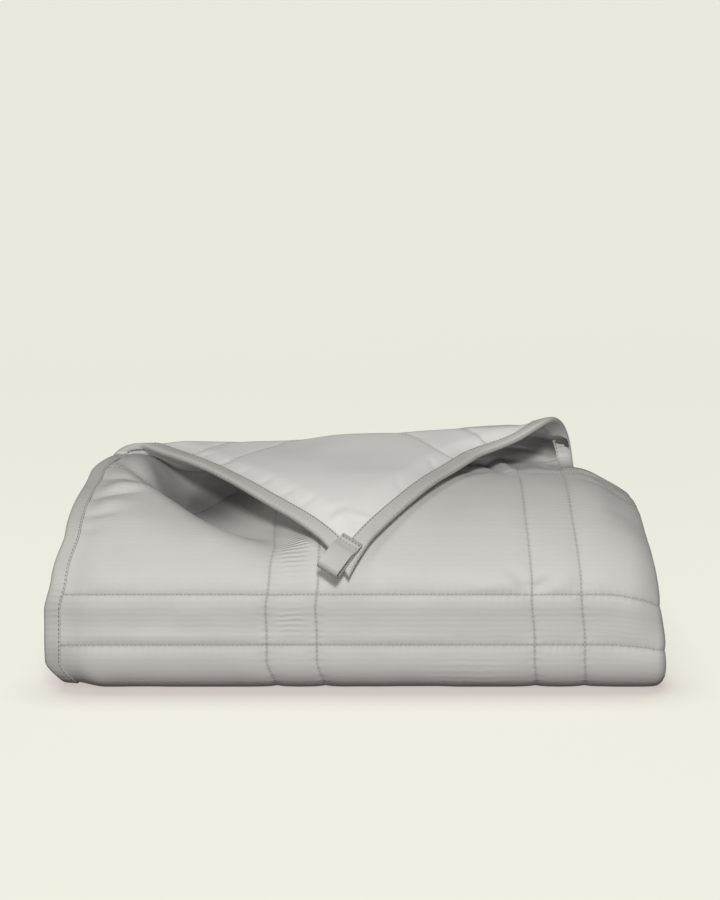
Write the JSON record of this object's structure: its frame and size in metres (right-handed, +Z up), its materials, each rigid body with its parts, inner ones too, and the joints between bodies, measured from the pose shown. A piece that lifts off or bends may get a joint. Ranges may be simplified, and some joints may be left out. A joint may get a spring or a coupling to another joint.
{
  "type": "folded weighted blanket",
  "caption": "Quilted weighted blanket folded into a nested stack, with bound edges, one corner rolled forward over the front and a small hanging loop at its tip.",
  "frame": {"origin": "on the table under the middle of the folded blanket, at the centre of the bottom of its bounding box", "axes": "+X to the right along the front, where the fold across the width is; +Y from the front to the back; +Z up"},
  "size_m": [0.5039, 0.3325, 0.1958],
  "materials": {
    "sateen": "soft sateen weave with a low sheen",
    "tape": "plain woven tape"
  },
  "bodies": {
    "root": {"quilted_blanket": "sateen", "edge_binding": "tape", "corner_loop": "tape"}
  },
  "joints": []
}
